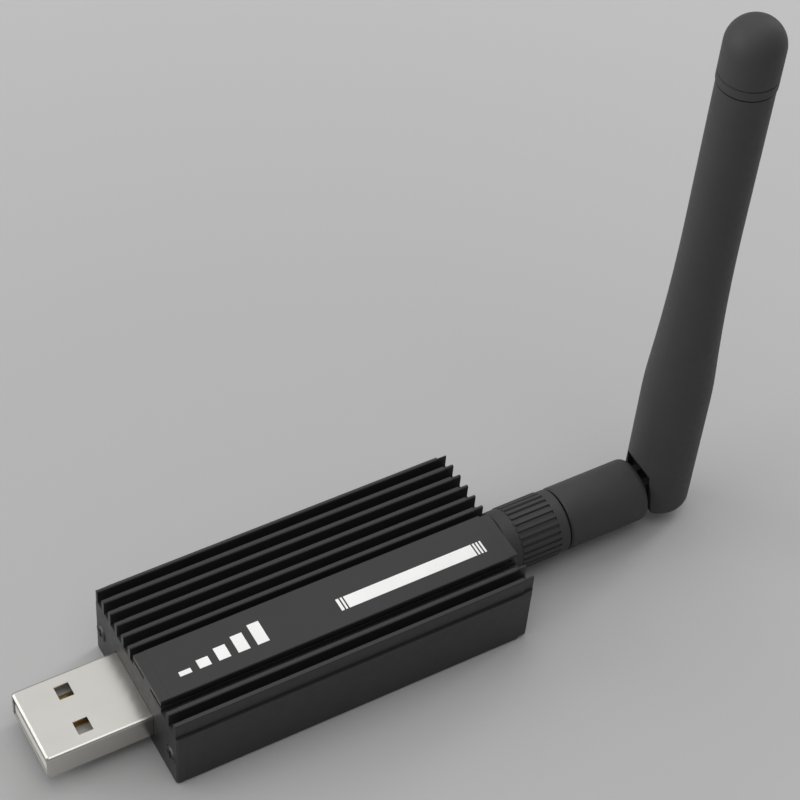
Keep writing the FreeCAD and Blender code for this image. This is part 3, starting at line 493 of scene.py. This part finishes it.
def add_threaded_jack():
    """Coaxial jack whose barrel carries a real helical thread."""
    low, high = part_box("jack_body")
    axis_z = (low.z + high.z) / 2
    flange_back = low.x + JACK_LEG_LENGTH
    flange_front = flange_back + JACK_FLANGE_THICKNESS
    thread_start = flange_front + JACK_BLANK_LENGTH
    mating_plane = high.x - JACK_SOCKET_DEPTH
    build = bmesh.new()
    bore_back = add_ring(build, flange_back, axis_z, lambda angle: JACK_BORE_RADIUS)
    flange = [
        bore_back,
        add_ring(build, flange_back, axis_z, square_radius),
        add_ring(build, flange_front, axis_z, square_radius),
        add_ring(build, flange_front, axis_z, lambda angle: JACK_CREST_RADIUS),
        add_ring(build, thread_start, axis_z, lambda angle: JACK_CREST_RADIUS),
    ]
    join_rings(build, flange, smooth=False)
    steps = math.ceil((high.x - thread_start) / JACK_PITCH * JACK_STEPS_PER_PITCH)
    thread = [flange[-1]]
    for step in range(1, steps + 1):
        x = thread_start + (high.x - thread_start) * step / steps
        thread.append(add_ring(build, x, axis_z, lambda angle: thread_radius(x, angle, thread_start, high.x)))
    join_rings(build, thread, smooth=True)
    bore = [
        thread[-1],
        add_ring(build, high.x, axis_z, lambda angle: JACK_SOCKET_RADIUS),
        add_ring(build, mating_plane, axis_z, lambda angle: JACK_SOCKET_RADIUS),
        add_ring(build, mating_plane, axis_z, lambda angle: JACK_BORE_RADIUS),
        bore_back,
    ]
    join_rings(build, bore, smooth=False)
    add_jack_legs(build, flange_back, axis_z)
    bmesh.ops.recalc_face_normals(build, faces=build.faces)
    jack = add_piece("threaded_jack", mesh_of("threaded_jack", build), MATERIALS["gold_plate"])
    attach(jack, "stick")
    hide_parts("jack_body")


def lead_centres(start_x, pivot, top_z):
    """Middle line of the lead, through the knuckle, round the fold axis and up the whip.

    Each point comes with the angle that the lead has turned by.
    """
    radius = LEAD_BEND_RADIUS
    bend_x = pivot.x - radius
    bend_top_z = pivot.z + radius
    points = []
    for step in range(LEAD_RUN_STEPS):
        x = start_x + (bend_x - start_x) * step / LEAD_RUN_STEPS
        points.append((Vector((x, 0, pivot.z)), 0.0))
    for step in range(LEAD_BEND_STEPS):
        angle = math.pi / 2 * step / LEAD_BEND_STEPS
        x = bend_x + radius * math.sin(angle)
        z = pivot.z + radius * (1 - math.cos(angle))
        points.append((Vector((x, 0, z)), angle))
    for step in range(LEAD_RUN_STEPS + 1):
        z = bend_top_z + (top_z - bend_top_z) * step / LEAD_RUN_STEPS
        points.append((Vector((pivot.x, 0, z)), math.pi / 2))
    return points


def add_lead():
    """Coaxial lead as one smooth tube, bent round the fold axis."""
    low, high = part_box("antenna_coax")
    fold = next(joint for joint in frame["joints"] if joint["name"] == "whip_fold")
    pivot = Vector(fold["pos_m"])
    build = bmesh.new()
    rings = []
    for centre, angle in lead_centres(low.x, pivot, high.z):
        across = Vector((-math.sin(angle), 0, math.cos(angle)))
        ring = []
        for side in range(LEAD_SIDES):
            turn = 2 * math.pi * side / LEAD_SIDES
            offset = across * math.cos(turn) + Vector((0, math.sin(turn), 0))
            ring.append(build.verts.new(centre + offset * LEAD_RADIUS))
        rings.append(ring)
    join_rings(build, rings, smooth=True)
    build.faces.new(rings[0])
    build.faces.new(rings[-1][::-1])
    bmesh.ops.recalc_face_normals(build, faces=build.faces)
    lead = add_piece("coaxial_lead", mesh_of("coaxial_lead", build), MATERIALS["coax_jacket"])
    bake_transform(lead)
    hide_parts("antenna_coax")


def direction(azimuth, elevation):
    """Unit vector from the object towards a light or camera seen at those angles in degrees."""
    turn = math.radians(azimuth)
    rise = math.radians(elevation)
    return Vector((math.sin(turn) * math.cos(rise), -math.cos(turn) * math.cos(rise), math.sin(rise)))


def add_camera():
    """Camera at the photograph's place and angle."""
    data = bpy.data.cameras.new("camera")
    data.lens = CAMERA_LENS
    data.sensor_width = CAMERA_SENSOR_WIDTH
    data.clip_start = CAMERA_NEAREST
    data.clip_end = CAMERA_FARTHEST
    camera = bpy.data.objects.new("camera", data)
    bpy.context.scene.collection.objects.link(camera)
    back = direction(CAMERA_AZIMUTH, CAMERA_ELEVATION)
    forward = -back
    level_right = forward.cross(Vector((0, 0, 1))).normalized()
    level_up = level_right.cross(forward)
    roll = math.radians(CAMERA_ROLL)
    right = math.cos(roll) * level_right + math.sin(roll) * level_up
    up = math.cos(roll) * level_up - math.sin(roll) * level_right
    turned = Matrix((right, up, back)).transposed().to_4x4()
    camera.matrix_world = Matrix.Translation(CAMERA_PLACE) @ turned
    bpy.context.scene.camera = camera


def add_lamp(name, azimuth, elevation, distance, size, radiance):
    """Rectangular lamp that faces the object and looks equally bright from any distance."""
    lamp = bpy.data.lights.new(name, "AREA")
    lamp.shape = "RECTANGLE"
    lamp.size, lamp.size_y = size
    lamp.energy = radiance * math.pi * size[0] * size[1]
    light = bpy.data.objects.new(name, lamp)
    bpy.context.scene.collection.objects.link(light)
    towards = direction(azimuth, elevation)
    light.location = LIGHT_CENTRE + towards * distance
    light.rotation_mode = "QUATERNION"
    light.rotation_quaternion = towards.to_track_quat("Z", "Y")
    light.visible_camera = False


def add_lights():
    """Softboxes behind, overhead and low beyond the plug, a strip for the antenna and a small box."""
    for name, values in LAMPS.items():
        add_lamp(name, *values)


def add_world():
    """Pale studio surround, brighter to look at, also through clear parts, than it is as a light."""
    world = bpy.data.worlds.new("studio")
    world.use_nodes = True
    bpy.context.scene.world = world
    tree = world.node_tree
    background = tree.nodes["Background"]
    background.inputs["Color"].default_value = (SURROUND_TONE, SURROUND_TONE, SURROUND_TONE, 1.0)
    rays = tree.nodes.new("ShaderNodeLightPath")
    seen = tree.nodes.new("ShaderNodeMath")
    seen.operation = "ADD"
    seen.use_clamp = True
    tree.links.new(rays.outputs["Is Camera Ray"], seen.inputs[0])
    tree.links.new(rays.outputs["Is Transmission Ray"], seen.inputs[1])
    strength = tree.nodes.new("ShaderNodeMapRange")
    strength.inputs["To Min"].default_value = SURROUND_AS_LIGHT
    strength.inputs["To Max"].default_value = SURROUND_AS_SEEN
    tree.links.new(seen.outputs["Value"], strength.inputs["Value"])
    tree.links.new(strength.outputs["Result"], background.inputs["Strength"])


def add_floor():
    """Plain round floor with painted shade: deeper in tone round the object, as a painted shadow pool, than far
    away, and a little deeper again towards its edge.
    """
    build = bmesh.new()
    bmesh.ops.create_circle(build, cap_ends=True, radius=FLOOR_RADIUS, segments=FLOOR_SIDES)
    material, tree, shader = plain("studio_floor", roughness=0.9, specular=0.1)
    place = tree.nodes.new("ShaderNodeTexCoord")
    distance = tree.nodes.new("ShaderNodeVectorMath")
    distance.operation = "LENGTH"
    tree.links.new(place.outputs["Object"], distance.inputs[0])
    share = tree.nodes.new("ShaderNodeMath")
    share.operation = "DIVIDE"
    share.inputs[1].default_value = FLOOR_RADIUS
    tree.links.new(distance.outputs["Value"], share.inputs[0])
    # Painted shade: this ramp makes the floor darker round the object and a little darker again far out
    painted_shade_ramp = tree.nodes.new("ShaderNodeValToRGB")
    stops = painted_shade_ramp.color_ramp.elements
    # A new ramp has two stops, so a third one goes between them
    stops.new(0.5)
    for stop, (reach, tone) in zip(stops, FLOOR_TONES_WITH_PAINTED_SHADE):
        stop.position = reach / FLOOR_RADIUS
        stop.color = (tone, tone, tone, 1.0)
    tree.links.new(share.outputs["Value"], painted_shade_ramp.inputs["Fac"])
    tree.links.new(painted_shade_ramp.outputs["Color"], shader.inputs["Base Color"])
    raise_grain(tree, shader, noise(tree, 2 * MM), height=0.02 * MM)
    floor = add_piece("studio_floor", mesh_of("studio_floor", build), material)


dress_nodes()
add_signal_bars()
add_label_bar()
add_threaded_jack()
add_lead()
add_camera()
add_lights()
add_world()
add_floor()

bpy.context.scene.view_settings.view_transform = "Standard"
